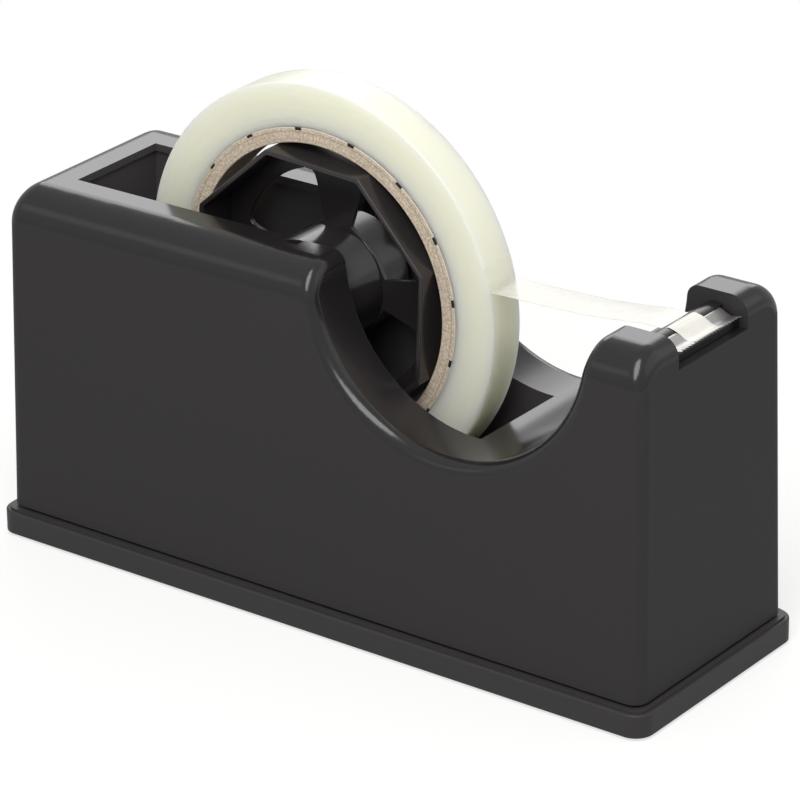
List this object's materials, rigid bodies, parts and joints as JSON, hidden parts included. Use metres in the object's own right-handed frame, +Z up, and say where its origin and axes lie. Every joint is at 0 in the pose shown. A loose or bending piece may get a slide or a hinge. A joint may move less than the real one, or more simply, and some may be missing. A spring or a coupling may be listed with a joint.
{
  "type": "desktop tape dispenser",
  "caption": "Weighted desktop tape dispenser: roll on an adapter in an open well, scooped housing, and a toothed blade on a block between two horns.",
  "frame": {"origin": "middle of the footprint, on the surface the feet stand on", "axes": "+Z up, +X from the roll towards the blade, +Y across the dispenser"},
  "size_m": [0.203, 0.0694, 0.1341],
  "materials": {
    "housing_plastic": "satin moulded ABS, near black",
    "base_plastic": "moulded ABS, near black",
    "block_plastic": "moulded ABS, black",
    "hub_plastic": "polished moulded styrene, black",
    "foot_rubber": "moulded rubber",
    "screw_steel": "zinc plated",
    "weight_iron": "sawn bar",
    "blade_steel": "brushed, unpainted",
    "axle_steel": "turned",
    "core_card": "wound kraft board",
    "tape_film": "wound clear film, seen as pale cream green",
    "free_film": "clear film with a frosted look"
  },
  "bodies": {
    "stand": {"housing": "housing_plastic", "base_plate": "base_plastic", "foot_rear_near": "foot_rubber", "foot_rear_far": "foot_rubber", "foot_front_near": "foot_rubber", "foot_front_far": "foot_rubber", "base_screws": "screw_steel", "weight_near": "weight_iron", "weight_far": "weight_iron", "weight_front": "weight_iron", "cutter_block": "block_plastic", "blade": "blade_steel"},
    "axle_set": {"axle": "axle_steel", "free_tape": "free_film"},
    "roll": {"core_adapter": "hub_plastic", "spool_near": "hub_plastic", "spool_far": "hub_plastic", "core": "core_card", "wound_tape": "tape_film"}
  },
  "joints": [
    {"name": "roll_lift", "type": "slide", "parent": "stand", "child": "axle_set", "axis": [0, 0, 1], "range_m": [0, 0.09]},
    {"name": "roll_spin", "type": "hinge", "parent": "axle_set", "child": "roll", "pos_m": [-0.0163, 0, 0.0804], "axis": [0, 1, 0], "continuous": true}
  ]
}
